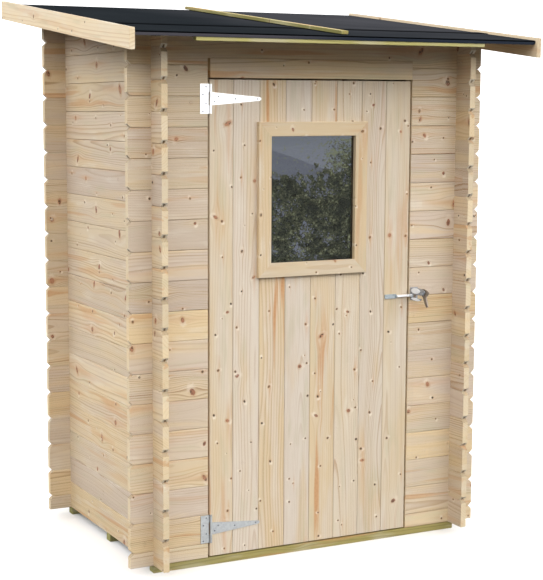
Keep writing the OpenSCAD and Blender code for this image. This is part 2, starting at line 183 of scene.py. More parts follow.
class Graph:
    """Short names for the nodes of one material."""

    def __init__(self, name):
        self.material = bpy.data.materials.new(name)
        self.material.use_nodes = True
        self.tree = self.material.node_tree
        self.shader = self.tree.nodes["Principled BSDF"]

    def node(self, kind, **settings):
        made = self.tree.nodes.new(kind)
        for key, value in settings.items():
            setattr(made, key, value)
        return made

    def feed(self, socket, value):
        if isinstance(value, bpy.types.NodeSocket):
            self.tree.links.new(value, socket)
        elif value is not None:
            socket.default_value = value

    def give(self, name, value):
        """Sets an input of the shader to a value or to a node's result."""
        self.feed(self.shader.inputs[name], value)

    def math(self, kind, a, b=None):
        made = self.node("ShaderNodeMath", operation=kind)
        self.feed(made.inputs[0], a)
        self.feed(made.inputs[1], b)
        return made.outputs[0]

    def plus(self, a, b):
        return self.math("ADD", a, b)

    def minus(self, a, b):
        return self.math("SUBTRACT", a, b)

    def times(self, a, b):
        return self.math("MULTIPLY", a, b)

    def over(self, a, b):
        return self.math("DIVIDE", a, b)

    def power(self, a, b):
        return self.math("POWER", a, b)

    def muladd(self, a, factor, more):
        made = self.node("ShaderNodeMath", operation="MULTIPLY_ADD")
        for socket, value in zip(made.inputs, (a, factor, more)):
            self.feed(socket, value)
        return made.outputs[0]

    def far(self, a, b):
        """Distance from the origin of the point a, b."""
        return self.math("SQRT", self.muladd(a, a, self.times(b, b)))

    def hill(self, a, wide, b, deep):
        """1 at the origin, falling away over that width and depth."""
        far = self.far(self.over(a, wide), self.over(b, deep))
        return self.math("EXPONENT", self.times(self.times(far, far), -1.0))

    def vector(self, x, y, z):
        made = self.node("ShaderNodeCombineXYZ")
        for socket, value in zip(made.inputs, (x, y, z)):
            self.feed(socket, value)
        return made.outputs[0]

    def split(self, vector):
        made = self.node("ShaderNodeSeparateXYZ")
        self.feed(made.inputs[0], vector)
        return made.outputs

    def smooth(self, value, start, end, low=0.0, high=1.0):
        """low below start, high above end, and a smooth step between."""
        made = self.node("ShaderNodeMapRange", interpolation_type="SMOOTHSTEP")
        for socket, v in zip(made.inputs, (value, start, end, low, high)):
            self.feed(socket, v)
        return made.outputs[0]

    def mix(self, amount, a, b, kind="MIX"):
        made = self.node("ShaderNodeMix", data_type="RGBA", blend_type=kind)
        self.feed(made.inputs[0], amount)
        self.feed(made.inputs[6], a)
        self.feed(made.inputs[7], b)
        return made.outputs[2]

    def noise(self, vector, scale=1.0, detail=2.0, roughness=0.5):
        made = self.node("ShaderNodeTexNoise")
        self.feed(made.inputs["Vector"], vector)
        self.feed(made.inputs["Scale"], scale)
        self.feed(made.inputs["Detail"], detail)
        self.feed(made.inputs["Roughness"], roughness)
        return made.outputs[0]

    def drawn_out(self, xyz, factors, detail=2.0):
        """Noise with a scale of its own along each axis."""
        return self.noise(self.vector(*(self.times(v, f) for v, f in zip(xyz, factors))), 1.0, detail)

    def chance(self, value):
        """Red, green and blue random numbers and a fourth for each value."""
        made = self.node("ShaderNodeTexWhiteNoise", noise_dimensions="1D")
        self.feed(made.inputs["W"], value)
        return [*self.split(made.outputs["Color"]), made.outputs["Value"]]

    def attribute(self, name):
        return self.node("ShaderNodeAttribute", attribute_name=name).outputs["Vector"]

    def bump(self, height, distance, strength):
        made = self.node("ShaderNodeBump")
        self.feed(made.inputs["Height"], height)
        self.feed(made.inputs["Distance"], distance)
        self.feed(made.inputs["Strength"], strength)
        self.give("Normal", made.outputs[0])


def knot(g, x, y, wobble, plenty, length, small, large, stretch, lean, seed):
    """Knots at random spots, one or none in each length of board.

    Gives how far the rings give way there, how much of knot, of its rim, of the
    pale wood beside it and of the dark wood along it there is, and its hue.
    """
    cells = g.muladd(x, 1.0 / length, seed)
    cell = g.math("FLOOR", cells)
    along, across, turned, present = g.chance(g.plus(cell, seed * 7.0))
    size, longer, hue, side = g.chance(g.plus(cell, seed * 13.0 + 0.5))
    middle = g.muladd(along, 0.4, 0.3)
    dx = g.times(g.minus(g.minus(cells, cell), middle), length)
    dy = g.minus(y, g.muladd(across, 0.096, -0.048))
    angle = g.muladd(turned, 2.0 * lean, math.pi / 2 - lean)
    c, s = g.math("COSINE", angle), g.math("SINE", angle)
    u = g.plus(g.times(dx, c), g.times(dy, s))
    w = g.minus(g.times(dy, c), g.times(dx, s))
    radius = g.muladd(g.power(size, 1.3), large - small, small)
    reach = g.times(radius, g.muladd(g.power(longer, 1.5), stretch - 1.0, 1.0))
    a, b = g.over(u, reach), g.over(w, radius)
    rough = g.muladd(wobble, 0.8, 0.6)
    ratio = g.times(g.far(a, b), rough)
    there = g.math("LESS_THAN", present, plenty)
    core = g.times(g.smooth(ratio, 1.12, 0.8), there)
    rim = g.times(g.smooth(ratio, 2.1, 0.95), there)
    half = g.muladd(g.plus(radius, reach), 0.5, 0.002)
    beside = g.times(g.over(u, half), g.math("SIGN", g.minus(side, 0.5)))
    spread = g.far(g.muladd(beside, 0.8, -0.9), g.times(g.over(w, half), 0.9))
    spread = g.times(spread, g.muladd(wobble, 1.1, 0.45))
    pale = g.times(g.smooth(spread, 1.4, 0.3), g.times(there, g.muladd(turned, 0.7, 0.3)))
    flow = g.hill(g.over(dx, reach), 4.0, g.over(dy, reach), 2.2)
    tail = g.hill(g.over(dx, reach), 9.0, g.over(g.minus(dy, 0.004), radius), 1.3)
    flow = g.times(flow, there)
    tail = g.times(tail, there)
    return g.times(dy, flow), core, rim, pale, flow, tail, hue


def wood(name, tones, contrast=1.0, knots=(0.72, 0.42, 0.12), size=1.0, rough=0.62, streaks=0.8,
         halo=0.7, vary=0.16):
    """Planed softwood cut from a log: the board's own place in it drives the pattern.

    The tones are those of cool, plain and warm wood and of the dark part of the rings.  The
    knots are the shares of large ones, small ones and pins; halo is the pale wood beside them.
    """
    cool, plain, warm, late = (rgb(c) for c in tones.split())
    g = Graph(name)
    x, y, z = g.split(g.attribute("grain"))
    pith_y, pith_z, tone = g.split(g.attribute("board"))
    red, green, blue, odd = g.chance(g.times(tone, 97.0))

    wobble = g.drawn_out((x, y, odd), (120, 120, 1), 1.5)
    layers = []
    if knots:
        few = g.muladd(blue, 0.9, 0.55)
        for share, length, small, large, stretch, lean, seed in (
            (knots[0], 0.36, 0.0055 * size, 0.0108 * size, 2.1, 0.75, 0.37),
            (knots[1], 0.14, 0.0029, 0.0050, 1.4, 1.4, 5.21),
            (knots[2], 0.17, 0.0014, 0.0026, 1.7, 1.5, 9.63),
        ):
            plenty = g.times(few, share)
            layers.append(knot(g, x, y, wobble, plenty, length, small, large, stretch, lean, seed))
    bent = y
    for layer in layers:
        bent = g.minus(bent, layer[0])

    # Rings round the pith of a log that tapers and is never quite straight
    slow = g.drawn_out((x, y, z), (1.1, 1.2, 3), 1.0)
    quick = g.drawn_out((x, bent, z), (5, 24, 24), 1.0)
    ring = g.far(g.minus(bent, pith_y), g.minus(z, pith_z))
    ring = g.muladd(x, 0.009, ring)
    ring = g.muladd(slow, 0.045, ring)
    ring = g.muladd(quick, 0.005, ring)
    ring = g.over(ring, g.muladd(g.power(red, 1.3), 0.0085, 0.0045))
    turn = g.math("FRACT", ring)
    _, _, early, weight = g.chance(g.math("FLOOR", ring))
    start = g.muladd(early, 0.45, 0.25)
    dark = g.times(g.smooth(turn, start, 0.93), g.smooth(turn, 1.0, 0.94))
    dark = g.times(dark, g.muladd(weight, 0.8, 0.2))
    share = g.muladd(g.power(green, 1.2), 0.8 * contrast, 0.3 * contrast)

    fibre = g.drawn_out((x, bent, z), (16, 800, 800))
    streak = g.drawn_out((x, bent, z), (1.5, 30, 30))
    patch = g.drawn_out((x, bent, odd), (2.3, 14, 1))
    cloud = g.drawn_out((x, bent, green), (4.5, 22, 1))

    body = g.mix(g.smooth(tone, 0.05, 0.5), cool, plain)
    body = g.mix(g.smooth(tone, 0.5, 1.0), body, warm)
    body = g.mix(g.smooth(patch, 0.48, 0.68, 0.0, 0.6), body, cool)
    body = g.mix(g.smooth(patch, 0.5, 0.32, 0.0, 0.6), body, warm)
    body = g.mix(g.smooth(cloud, 0.55, 0.74, 0.0, 0.38), body, rgb("#e4dccd"))
    body = g.mix(g.smooth(cloud, 0.45, 0.27, 0.0, 0.4), body, rgb("#c3bb9c"))
    body = g.mix(g.times(dark, share), body, late)
    lively = g.times(g.smooth(tone, 0.3, 0.9, 0.2, 0.75 * streaks), g.smooth(streak, 0.57, 0.68))
    burnt = g.mix(wobble, rgb("#cf9f70"), rgb("#bb8556"))
    body = g.mix(lively, body, burnt)
    shade = g.plus(g.muladd(fibre, 0.12, 0.87), g.muladd(odd, vary, -0.2 * vary))
    body = g.mix(1.0, body, g.vector(shade, shade, shade), "MULTIPLY")
    for number, (_, core, rim, pale, flow, tail, hue) in enumerate(layers):
        if number == 0:
            brown, inner = g.mix(hue, rgb("#8a5541"), rgb("#b58263")), rgb("#553c2e")
        else:
            brown, inner = g.mix(hue, rgb("#43372b"), rgb("#85603f")), rgb("#3a3026")
        body = g.mix(g.times(flow, 0.2), body, plain)
        body = g.mix(g.times(tail, g.smooth(hue, 0.35, 0.9, 0.0, 0.45)), body, burnt)
        body = g.mix(g.times(pale, halo), body, rgb("#ece2d0"))
        body = g.mix(g.times(rim, g.muladd(hue, 0.45, 0.2)), body, rgb("#bd946c"))
        body = g.mix(g.times(core, 0.94), body, g.mix(g.smooth(wobble, 0.48, 0.62), brown, inner))
    g.give("Base Color", body)
    g.give("Roughness", g.muladd(fibre, 0.2, rough - 0.1))
    g.give("Specular IOR Level", 0.25)
    height = g.plus(g.times(dark, 0.6), g.times(fibre, 0.5))
    g.bump(height, 0.0004, 0.5)
    return g.material


softwood = wood("planed_softwood", "#cdbcaa #d5c3a7 #dac29a #9d7650")
door_softwood = wood("door_softwood", "#d9ccbc #d7c7ae #d6be98 #ac8660", contrast=0.85,
                     knots=(0.6, 1.2, 0.3), size=0.74, streaks=1.25, halo=0.75, vary=0.07)
end_grain = wood("softwood_ends", "#d9c8aa #dcc9a8 #dec69f #c2a376", contrast=0.7, knots=())
# Cuts at board ends that face up are painted darker, as painted shade; those that face down are painted
# much paler, as painted light from below.
shaded_upward_cuts = wood("upward_cuts_painted_shade", "#a5947a #ab997c #b0997a #8d7454", contrast=0.7, knots=())
lit_downward_cuts = wood("downward_cuts_painted_light", "#f5ecdb #f5ebd7 #f5e8d0 #dcc5a0", contrast=0.7, knots=())
casing_wood = wood("casing_softwood", "#d2c2aa #d7c4a7 #d7c09c #bb9870", contrast=0.8,
                   knots=(0.5, 1.4, 0.9), size=0.55, streaks=0.6, halo=0.6, vary=0.05)
fascia_wood = wood("fascia_softwood", "#e2d2b8 #e4d1b2 #e4cea8 #c8a67c", contrast=0.75,
                   knots=(0.35, 0.4, 0.2), size=0.7, streaks=0.5)
weathered_top = wood("weathered_edges", "#a39682 #a8997f #ad9a7a #8d7454", contrast=0.75)
treated = wood("treated_timber", "#938d61 #998f57 #a19459 #665f33",
               knots=(0.3, 0.25, 0.15), size=0.8, rough=0.75, streaks=0.6, halo=0.2)
treated_strips = wood("treated_strips", "#d2ca94 #c9c07e #bbb266 #8c8546", contrast=0.9,
                      knots=(0.3, 0.3, 0.15), size=0.7, rough=0.75, streaks=0.6, halo=0.2)
batten_wood = wood("treated_batten", "#aaa274 #948c56 #726e39 #5d5a2d", contrast=1.3,
                   knots=(0.7, 0.9, 0.5), size=0.5, rough=0.75, streaks=0.6, halo=0.2)
treated_ends = wood("treated_ends", "#8d8a55 #989155 #a39a5b #6f6a3c", contrast=0.8,
                    knots=(), rough=0.8, streaks=0.3)
# The roof boards' wood is darker and greyer than the walls': painted shade under the eaves.
roof_wood = wood("roof_softwood_painted_shade", "#877c6f #8c8070 #92836d #665340")
LOG_WOOD = [softwood, end_grain, shaded_upward_cuts, lit_downward_cuts]


# ---- Pieces ----

def place(origin, along, across, inwards):
    """Matrix from a board's own axes: grain, width and depth."""
    turn = Matrix((along, across, inwards)).transposed().to_4x4()
    return Matrix.Translation(origin) @ turn


def skin(bm, rows):
    """Closes a body from its rows of points: its two ends, and a ring between two rows."""
    bm.faces.new(rows[0][::-1])
    bm.faces.new(rows[-1])
    for near, far in zip(rows, rows[1:]):
        for i in range(len(near)):
            j = (i + 1) % len(near)
            bm.faces.new((near[i], near[j], far[j], far[i]))


def solid_mesh(name, bm, material):
    """A mesh of one material, with all its faces turned outwards."""
    bmesh.ops.recalc_face_normals(bm, faces=bm.faces[:])
    mesh = bpy.data.meshes.new(name)
    bm.to_mesh(mesh)
    bm.free()
    mesh.materials.append(material)
    return mesh


def store(mesh, name, rows):
    """Keeps three numbers for each point of a mesh."""
    layer = mesh.attributes.new(name, "FLOAT_VECTOR", "POINT")
    layer.data.foreach_set("vector", [c for row in rows for c in row])


def add_piece(name, mesh, body, replaced=()):
    """Puts a mesh in the scene, on the body it rides and in place of those solids."""
    made = bpy.data.objects.new(name, mesh)
    scene.collection.objects.link(made)
    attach(made, body)
    if replaced:
        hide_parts(*replaced)


# ---- Boards ----

def rectangle(y0, y1, t):
    """Section of a plain board with eased edges."""
    e = EASE
    return [(y0 + e, 0), (y1 - e, 0), (y1, e), (y1, t - e), (y1 - e, t), (y0 + e, t), (y0, t - e), (y0, e)]


def plain_section(wide, thick):
    """Section of a square-edged timber."""
    return [(0, 0), (wide, 0), (wide, thick), (0, thick)]


def eased(wide, thick, ease):
    """Section of a timber whose front edges are rounded."""
    turns = [math.pi / 8 * i for i in range(5)]
    steps = [(ease * (1 - math.cos(a)), ease * (1 - math.sin(a))) for a in turns]
    return steps + [(wide - x, y) for x, y in steps[::-1]] + [(wide, thick), (0, thick)]


def tongued(y0, y1, t, tongue, groove, v=V_EDGE):
    """Section of a tongued and grooved board from y0 to y1, with its V edges.

    The joint shows as a thin line in front, and is closed on the inner half.
    """
    slot, lip = t * 0.16, t * 0.105
    high_tongue, deep = t * 0.29, t * 0.45
    low, high = y0 + HALF_LINE, y1 - HALF_LINE
    low_in, high_in = y0 + LAID, y1 - LAID
    points = [(low + v, 0), (high - v, 0), (high, v)]
    if tongue:
        a, b = t / 2 - lip, t / 2 + lip
        points += [(high, a - 0.0003), (y1 + high_tongue, a), (y1 + high_tongue, b), (high, b + 0.0003)]
        points += [(high_in, b + 0.0006)]
    else:
        points += [(high, t / 2), (high_in, t / 2)]
    points += [(high_in, t - v), (high_in - v, t), (low_in + v, t), (low_in, t - v)]
    if groove:
        a, b = t / 2 - slot, t / 2 + slot
        points += [(low_in, b), (y0 + deep, b), (y0 + deep, a), (low, a)]
    else:
        points += [(low_in, t / 2), (low, t / 2)]
    return points + [(low, v)]


def prism(outline, x0, x1):
    """A closed bar of that section from x0 to x1."""
    bm = bmesh.new()
    skin(bm, [[bm.verts.new((x, y, z)) for y, z in outline] for x in (x0, x1)])
    return bm


def cut(bm, point, normal):
    """Takes off what lies beyond a plane and closes the cut."""
    done = bmesh.ops.bisect_plane(
        bm, geom=bm.verts[:] + bm.edges[:] + bm.faces[:],
        plane_co=point, plane_no=normal, clear_outer=True,
    )
    rim = [e for e in done["geom_cut"] if isinstance(e, bmesh.types.BMEdge)]
    if rim:
        bmesh.ops.edgeloop_fill(bm, edges=rim)


class Pieces:
    """Boards gathered into one joined mesh, each with its own wood."""

    def __init__(self, name, body, slot_name, materials, replaced):
        self.name, self.body, self.slot_name = name, body, slot_name
        self.materials, self.replaced = materials, replaced
        self.verts, self.faces, self.slots, self.grain, self.board = [], [], [], [], []

    def log(self, rng, reach=0.12, tone=None):
        """Where in its log a new board lies: offset along it, pith and tone."""
        side = rng.choice((-1, 1))
        spot = rng.uniform(2, 38), rng.uniform(-reach, reach), side * rng.uniform(0.012, 0.075)
        shade = rng.random()
        return *spot, shade if tone is None else tone + shade * 0.02

    def add(self, bm, where, log, middle, bevel=0.0):
        """Adds a board, given in its own axes, at its place."""
        if bevel:
            bmesh.ops.bevel(
                bm, geom=bm.edges[:], offset=bevel, segments=2, affect="EDGES", clamp_overlap=True
            )
        bmesh.ops.recalc_face_normals(bm, faces=bm.faces[:])
        start = len(self.verts)
        bm.verts.index_update()
        mirrored = where.to_3x3().determinant() < 0
        offset, pith_y, pith_z, tone = log
        for v in bm.verts:
            self.verts.append(where @ v.co)
            self.grain.append((v.co.x + offset, v.co.y - middle, v.co.z))
            self.board.append((pith_y, pith_z, tone))
        for f in bm.faces:
            loop = [start + v.index for v in f.verts]
            self.faces.append(loop[::-1] if mirrored else loop)
            self.slots.append(self.face_slot(f.normal, (where.to_3x3() @ f.normal).z > 0.75))
        bm.free()

    def face_slot(self, normal, on_top):
        """Material of a face: 0 along the grain, 1 across it.

        A third one is for the weathered top.  With four, the third and the fourth are for
        cuts that face up and down the board; those facing up carry painted shade and those
        facing down painted light.
        """
        count = len(self.materials)
        if count == 3 and on_top:
            return 2
        if abs(normal.x) < 0.55:
            return 0
        if count < 4 or abs(normal.y) < 0.3:
            return 1
        return 2 if normal.y > 0 else 3

    def finish(self):
        """Makes the piece, with its grain stored on its points."""
        mesh = bpy.data.meshes.new(self.name)
        mesh.from_pydata(self.verts, [], self.faces)
        for m in self.materials:
            mesh.materials.append(m)
        mesh.polygons.foreach_set("material_index", self.slots)
        store(mesh, "grain", self.grain)
        store(mesh, "board", self.board)
        mesh.update()
        add_piece(self.name, mesh, self.body, self.replaced)


# ---- Walls ----

ACROSS = Vector((1, 0, 0))
UP = Vector((0, 0, 1))
FRONT = place((0, Y_FRONT, 0), ACROSS, UP, (0, 1, 0))
BACK = place((0, Y_BACK, 0), ACROSS, UP, (0, -1, 0))
LEFT = place((X_LEFT, 0, 0), (0, 1, 0), UP, (1, 0, 0))
RIGHT = place((X_RIGHT, 0, 0), (0, 1, 0), UP, (-1, 0, 0))
BOARD_T = left_high.x - left_low.x


def wall_course(wall, where, low, high, spans, crossings, log, first, last):
    """One wall board, given as spans (start, stop, lowest, cut at start, cut at stop).

    Where another wall passes through, only the middle half of the board is left.
    """
    roof_at = where.inverted() @ roof_point(0, 0, 0)
    roof_up = where.to_3x3().inverted() @ ROOF_NORMAL
    whole = high - low > PITCH * 0.9
    for start, stop, lowest, ear_start, ear_stop in spans:
        marks = sorted({start, stop, *(c for pair in crossings for c in pair if start < c < stop)})
        for x0, x1 in zip(marks, marks[1:]):
            if any(a <= x0 and x1 <= b for a, b in crossings):
                bottom, top = (low + PITCH / 4, low + PITCH * 0.75) if whole else (low, low + PITCH * 0.25)
                bm = prism(rectangle(bottom, top, BOARD_T), x0, x1)
            else:
                base = max(low, lowest)
                bm = prism(tongued(base, high, BOARD_T, not last, not first and base == low), x0, x1)
                for end, towards, eared in ((start, -1, ear_start), (stop, 1, ear_stop)):
                    if not eared or end not in (x0, x1):
                        continue
                    if not first:
                        cut(bm, (end - towards * END_CUT, low, 0), (towards, -1, 0))
                    if not last:
                        cut(bm, (end - towards * END_CUT, high, 0), (towards, 1, 0))
            cut(bm, roof_at, roof_up)
            if bm.faces:
                wall.add(bm, where, log, (low + high) / 2)
            else:
                bm.free()


def wall_lows(half_first, top):
    """Lower edges of a wall's boards; a front or back wall starts with half a board."""
    lows = [Z_WALL]
    lows += [Z_WALL + PITCH / 2] if half_first else [Z_WALL + PITCH]
    while lows[-1] + PITCH < top - END_CUT:
        lows.append(lows[-1] + PITCH)
    return lows


def build_wall(name, where, ends, crossings, half_first, y_top, replaced, seed, doorway=None):
    """A wall of boards up to the roof at that y.

    A doorway is its two sides and its top; it parts all the boards but the last.
    """
    rng = random.Random(seed)
    wall = Pieces(name, "shed", "wall_wood", LOG_WOOD, replaced)
    x0, x1 = ends
    lows = wall_lows(half_first, roof_height(y_top))
    for i, low in enumerate(lows):
        first, last = i == 0, i == len(lows) - 1
        # The last board would reach through the roof, which cuts it off
        high = low + PITCH + 0.03 if last else lows[i + 1]
        courses = [[(x0, x1, 0.0, True, True)]]
        if doorway:
            door_x0, door_x1, header_top = doorway
            left, right = (x0, door_x0, 0.0, True, False), (door_x1, x1, 0.0, False, True)
            over = door_x0, door_x1, header_top, False, False
            courses = [[left, over, right]] if last else [[left], [right]]
        for spans in courses:
            wall_course(wall, where, low, high, spans, crossings, wall.log(rng), first, last)
    wall.finish()


LENGTH = back_low.x, back_high.x
DEPTH = left_low.y, left_high.y
# Where the side walls pass through the front and back ones, and the other way about
SIDE_WALLS = (X_LEFT, X_LEFT + BOARD_T), (X_RIGHT - BOARD_T, X_RIGHT)
END_WALLS = (Y_FRONT, Y_FRONT + BOARD_T), (Y_BACK - BOARD_T, Y_BACK)
build_wall(
    "front_boards", FRONT, LENGTH, SIDE_WALLS, True, Y_FRONT,
    ("front_wall_left", "front_wall_right", "front_wall_top"), 11, DOORWAY,
)
build_wall("back_boards", BACK, LENGTH, SIDE_WALLS, True, Y_BACK, ("back_wall",), 12)
build_wall("left_boards", LEFT, DEPTH, END_WALLS, False, DEPTH[1], ("left_wall",), 13)
build_wall("right_boards", RIGHT, DEPTH, END_WALLS, False, DEPTH[1], ("right_wall",), 14)


# ---- Base, frame and roof timber ----

def bar(pieces, low, high, rng, grain="x", bevel=EASE, ends=()):
    """A plain timber that fills the box low..high, its grain along that axis.

    With ends, each a point and a normal, it is cut there and rounded in front only.
    """
    along, across = (ACROSS, UP) if grain == "x" else (UP, ACROSS)
    where = place(low, along, across, (0, 1, 0))
    size = high - low
    length, wide, thick = size.dot(along), size.dot(across), size.y
    if not ends:
        pieces.add(prism(plain_section(wide, thick), 0, length), where, pieces.log(rng), wide / 2, bevel)
        return
    bm = prism(eased(wide, thick, bevel), 0, length)
    back = where.inverted()
    for point, normal in ends:
        cut(bm, back @ Vector(point), back.to_3x3() @ Vector(normal))
    pieces.add(bm, where, pieces.log(rng), wide / 2)


rng = random.Random(21)
bearers = Pieces("bearers", "shed", "treated_timber", [treated, treated_ends], BEARERS)
for node in BEARERS:
    bar(bearers, *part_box(node), rng, bevel=0.0015)
bearers.finish()

posts = Pieces("door_frame", "shed", "wall_wood", [softwood, end_grain],
               ("door_header", "door_jamb_left", "door_jamb_right"))
bar(posts, header_low, header_high, rng, bevel=0.0008)
for node in ("door_jamb_left", "door_jamb_right"):
    bar(posts, *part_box(node), rng, "z")
posts.finish()


def boarding(pieces, where, count, wide, thick, start, stop, v=V_EDGE):
    """Tongued boards side by side over that width, each from start to stop along its grain."""
    step = wide / count
    for i in range(count):
        section = tongued(i * step, (i + 1) * step, thick, i < count - 1, i > 0, v)
        pieces.add(prism(section, start, stop), where, pieces.log(rng), (i + 0.5) * step)
    pieces.finish()


floor_low, floor_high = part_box("floor_boards")
floor_size = floor_high - floor_low
boarding(Pieces("floor_planks", "shed", "floor_wood", [softwood, end_grain], ("floor_boards",)),
         place(floor_low, (0, 1, 0), ACROSS, UP), FLOOR_BOARDS,
         floor_size.x, floor_size.z, 0, floor_size.y, 0.0012)

# Roof boards run down the slope; their V edges show from below
deck_low, deck_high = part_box("roof_deck")
S_FRONT = -FRONT_EAVE / math.cos(FALL)
S_BACK = (Y_BACK - Y_FRONT + BACK_EAVE) / math.cos(FALL)
boarding(Pieces("roof_planks", "shed", "roof_wood", [roof_wood, end_grain], ("roof_deck",)),
         place(roof_point(deck_low.x, 0, 0), ROOF_ALONG, ACROSS, ROOF_NORMAL), ROOF_BOARDS,
         deck_high.x - deck_low.x, DECK_T, S_FRONT, S_BACK)


def sloping_bar(pieces, half, s0, s1, n0, n1, downhill=False):
    """A timber of that half width laid on the roof's slope, its grain across it or down it."""
    sides = [(ACROSS, half * 2), (ROOF_ALONG, s1 - s0)]
    (along, length), (across, wide) = sides[::-1] if downhill else sides
    bm = prism(plain_section(wide, n1 - n0), 0, length)
    where = place(roof_point(-half, s0, n0), along, across, ROOF_NORMAL)
    pieces.add(bm, where, pieces.log(rng), wide / 2, EASE)


# A strip under the edge of the boards at each eave, and a batten over the felt
strips = Pieces("eave_strips", "shed", "treated_timber", [treated_strips, treated_ends],
                ("front_eave_batten", "back_eave_batten"))
for s in (S_FRONT, S_BACK - 0.028):
    sloping_bar(strips, 0.606, s, s + 0.028, -0.014, 0)
strips.finish()

N_FELT = DECK_T + LAID + FELT_T
strip = Pieces("roof_strip", "shed", "treated_timber", [batten_wood, treated_ends, treated],
               ("roof_batten",))
sloping_bar(strip, 0.0145, S_FRONT + 0.026, S_BACK, N_FELT + 0.0026, N_FELT + 0.0151, True)
strip.finish()

fascias = Pieces("fascias", "shed", "fascia_wood", [fascia_wood, end_grain, weathered_top],
                 ("left_fascia", "right_fascia"))
for node in ("left_fascia", "right_fascia"):
    low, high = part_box(node)
    y0, y1 = low.y, high.y - 0.00001
    where = place((low.x, y0, roof_height(y0) + FASCIA_LIFT - FASCIA_H), ROOF_ALONG, ROOF_NORMAL, ACROSS)
    back = where.inverted()
    wide = FASCIA_H * math.cos(FALL)
    # Made too long, and then cut upright at both ends
    bm = prism(plain_section(wide, high.x - low.x), -0.05, (y1 - y0) / math.cos(FALL) + 0.05)
    for y, outwards in ((y0, -1), (y1, 1)):
        cut(bm, back @ Vector((0, y, 0)), back.to_3x3() @ Vector((0, outwards, 0)))
    fascias.add(bm, where, fascias.log(rng), wide / 2, EASE)
fascias.finish()


# ---- Door ----

hinge_low, hinge_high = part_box("door_boards_hinge_side")
latch_low, latch_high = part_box("door_boards_latch_side")
above_low, above_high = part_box("door_boards_above_window")
DOOR = place((0, hinge_low.y, 0), UP, ACROSS, (0, 1, 0))
# Darker and paler boards stand side by side, as they come from the mill
DOOR_TONES = (0.55, 0.16, 0.86, 0.06, 0.76, 0.4, 0.24, 0.5)
leaf = Pieces("door_planks", "door", "door_wood", [door_softwood, end_grain],
              ("door_boards_hinge_side", "door_boards_latch_side",
               "door_boards_above_window", "door_boards_below_window"))
logs, rng = {}, random.Random(31)


def planks(x_marks, low, high):
    """Upright boards of the door; those over and under the window are of one log."""
    for x0, x1 in zip(x_marks, x_marks[1:]):
        number = round((x0 - hinge_low.x) / DOOR_BOARD)
        log = logs.setdefault(number, leaf.log(rng, 0.09, DOOR_TONES[number]))
        section = tongued(x0, x1, hinge_high.y - hinge_low.y, x1 != x_marks[-1], x0 != x_marks[0])
        leaf.add(prism(section, low.z, high.z), DOOR, log, (x0 + x1) / 2)


mid = [above_low.x + i * DOOR_BOARD for i in range(5)]
planks([hinge_low.x, mid[0] - DOOR_BOARD, mid[0]], hinge_low, hinge_high)
planks(mid, above_low, above_high)
planks(mid, *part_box("door_boards_below_window"))
planks([mid[4], mid[4] + DOOR_BOARD, latch_high.x], latch_low, latch_high)
leaf.finish()

ledges = Pieces("door_ledges", "door", "door_wood", [softwood, end_grain], LEDGES)
for node in LEDGES:
    bar(ledges, *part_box(node), rng, bevel=0.003)
ledges.finish()

casing = Pieces("window_casing", "door", "casing_wood", [casing_wood, end_grain],
                ("window_casing_top", "window_casing_bottom", "window_casing_left", "window_casing_right"))
out_low, out_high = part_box("window_casing_left")[0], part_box("window_casing_right")[1]
MITRE_GAP = 0.00008
for node, upright, sign in (
    ("window_casing_left", True, -1), ("window_casing_right", True, 1),
    ("window_casing_bottom", False, -1), ("window_casing_top", False, 1),
):
    ends = []
    for other in (-1, 1):
        side, level = (sign, other) if upright else (other, sign)
        x, z = (out_low if side < 0 else out_high).x, (out_low if level < 0 else out_high).z
        normal = Vector((-sign, 0, other)) if upright else Vector((other, 0, -sign))
        ends.append((Vector((x, 0, z)) - normal * MITRE_GAP, normal))
    bar(casing, *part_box(node), rng, "z" if upright else "x", 0.0025, ends)
casing.finish()

inner = Pieces("inner_casing", "door", "casing_wood", [casing_wood, end_grain],
               ("window_inner_stiles", "window_inner_rails"))
in_low, in_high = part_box("window_inner_stiles")
rail_low, rail_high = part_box("window_inner_rails")
for x0, x1 in ((in_low.x, rail_low.x), (rail_high.x, in_high.x)):
    bar(inner, Vector((x0, in_low.y, in_low.z)), Vector((x1, in_high.y, in_high.z)), rng, "z")
bar(inner, rail_low, Vector((rail_high.x, rail_high.y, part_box("window_casing_bottom")[1].z)), rng)
bar(inner, Vector((rail_low.x, rail_low.y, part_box("window_casing_top")[0].z)), rail_high, rng)
inner.finish()


# ---- Felt ----

def felt_material():
    """Mineral felt: near black, with pale grit, a painted sheen that lightens it towards the right and
    away from the front edge, a lighter band along its lip that is paler towards the left, and a painted
    shadow in the crease above the lip.
    """
    g = Graph("roofing_felt")
    where = g.node("ShaderNodeTexCoord").outputs["Object"]
    x, y, _ = g.split(where)
    lip_marks, crease, _ = g.split(g.attribute("lip_marks"))
    grit = g.noise(where, 700.0, 2.0, 0.7)
    cloud = g.noise(where, 4.0, 3.0)
    tint = g.mix(cloud, rgb("#171a1e"), rgb("#222629"))
    # Painted sheen: lighter towards the right, and more so behind the front edge
    painted_sheen = g.times(g.smooth(x, -0.45, 0.35), g.smooth(y, -0.45, -0.3, 0.35, 0.8))
    tint = g.mix(g.times(painted_sheen, g.muladd(cloud, 0.8, 0.4)), tint, rgb("#3f3f43"))
    # A lighter band along the lip, paler towards the left
    lip = g.mix(g.smooth(x, 0.1, -0.4), rgb("#2b313b"), rgb("#4b494e"))
    tint = g.mix(lip_marks, tint, lip)
    tint = g.mix(g.smooth(grit, 0.55, 0.75, 0.0, 0.25), tint, rgb("#45474b"))
    # Painted shadow: the crease above the lip is painted near black
    tint = g.mix(crease, tint, rgb("#050607"))
    g.give("Base Color", tint)
    g.give("Roughness", 0.95)
    g.give("Specular IOR Level", 0.0)
    g.bump(grit, 0.0006, 0.5)
    return g.material


felt = felt_material()


